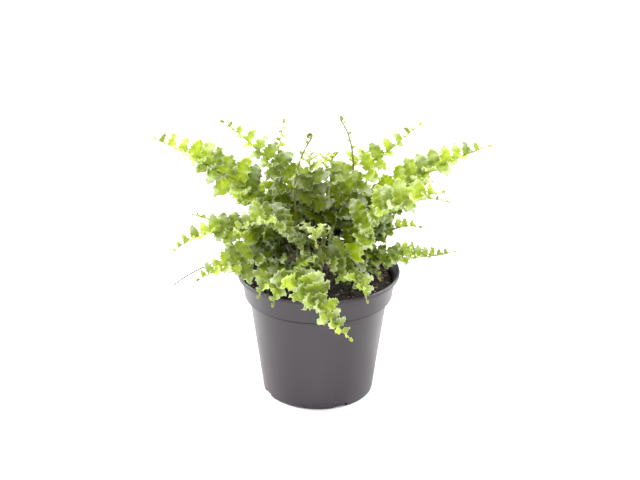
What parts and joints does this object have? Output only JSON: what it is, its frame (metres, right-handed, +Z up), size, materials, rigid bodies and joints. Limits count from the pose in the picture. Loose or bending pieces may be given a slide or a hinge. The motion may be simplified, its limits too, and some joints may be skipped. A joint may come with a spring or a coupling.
{
  "type": "potted ruffled boston fern",
  "caption": "Small ruffled fern with arching, once-divided fronds, growing in soil in a round tapered plastic nursery pot with a lip, collar and drained foot.",
  "frame": {"origin": "middle of the pot's base, on the surface that the pot stands on", "axes": "+Z up along the pot's axis, -Y towards the viewer of the picture's front, +X to the right"},
  "size_m": [0.2471, 0.1841, 0.2013],
  "materials": {
    "pot_plastic": "satin",
    "potting_soil": "matte",
    "frond_leaf": "satin",
    "young_frond": "satin",
    "runner_thread": "matte"
  },
  "bodies": {
    "root": {"pot": "pot_plastic", "soil": "potting_soil", "frond_left_high": "frond_leaf", "frond_right_long": "frond_leaf", "frond_right_top": "frond_leaf", "frond_left_top": "frond_leaf", "frond_front_drape": "frond_leaf", "frond_right_mid": "frond_leaf", "frond_left_mid": "frond_leaf", "frond_right_low": "frond_leaf", "frond_left_low": "frond_leaf", "frond_rim_left": "frond_leaf", "frond_cross": "frond_leaf", "frond_front_left": "frond_leaf", "frond_front_right": "frond_leaf", "frond_left_inner": "frond_leaf", "frond_right_fine": "frond_leaf", "frond_lace_high": "frond_leaf", "frond_lace_low": "frond_leaf", "frond_left_small": "frond_leaf", "frond_top_left": "frond_leaf", "frond_top_mid": "frond_leaf", "frond_top_right": "frond_leaf", "frond_back_young": "frond_leaf", "frond_centre": "frond_leaf", "frond_edge": "frond_leaf", "frond_rim": "frond_leaf", "frond_back_right": "frond_leaf", "frond_back_far": "frond_leaf", "frond_back_mid": "frond_leaf", "frond_back_low": "frond_leaf", "frond_back_left": "frond_leaf", "frond_young_left": "young_frond", "frond_young_right": "young_frond", "runner": "runner_thread"}
  },
  "joints": []
}
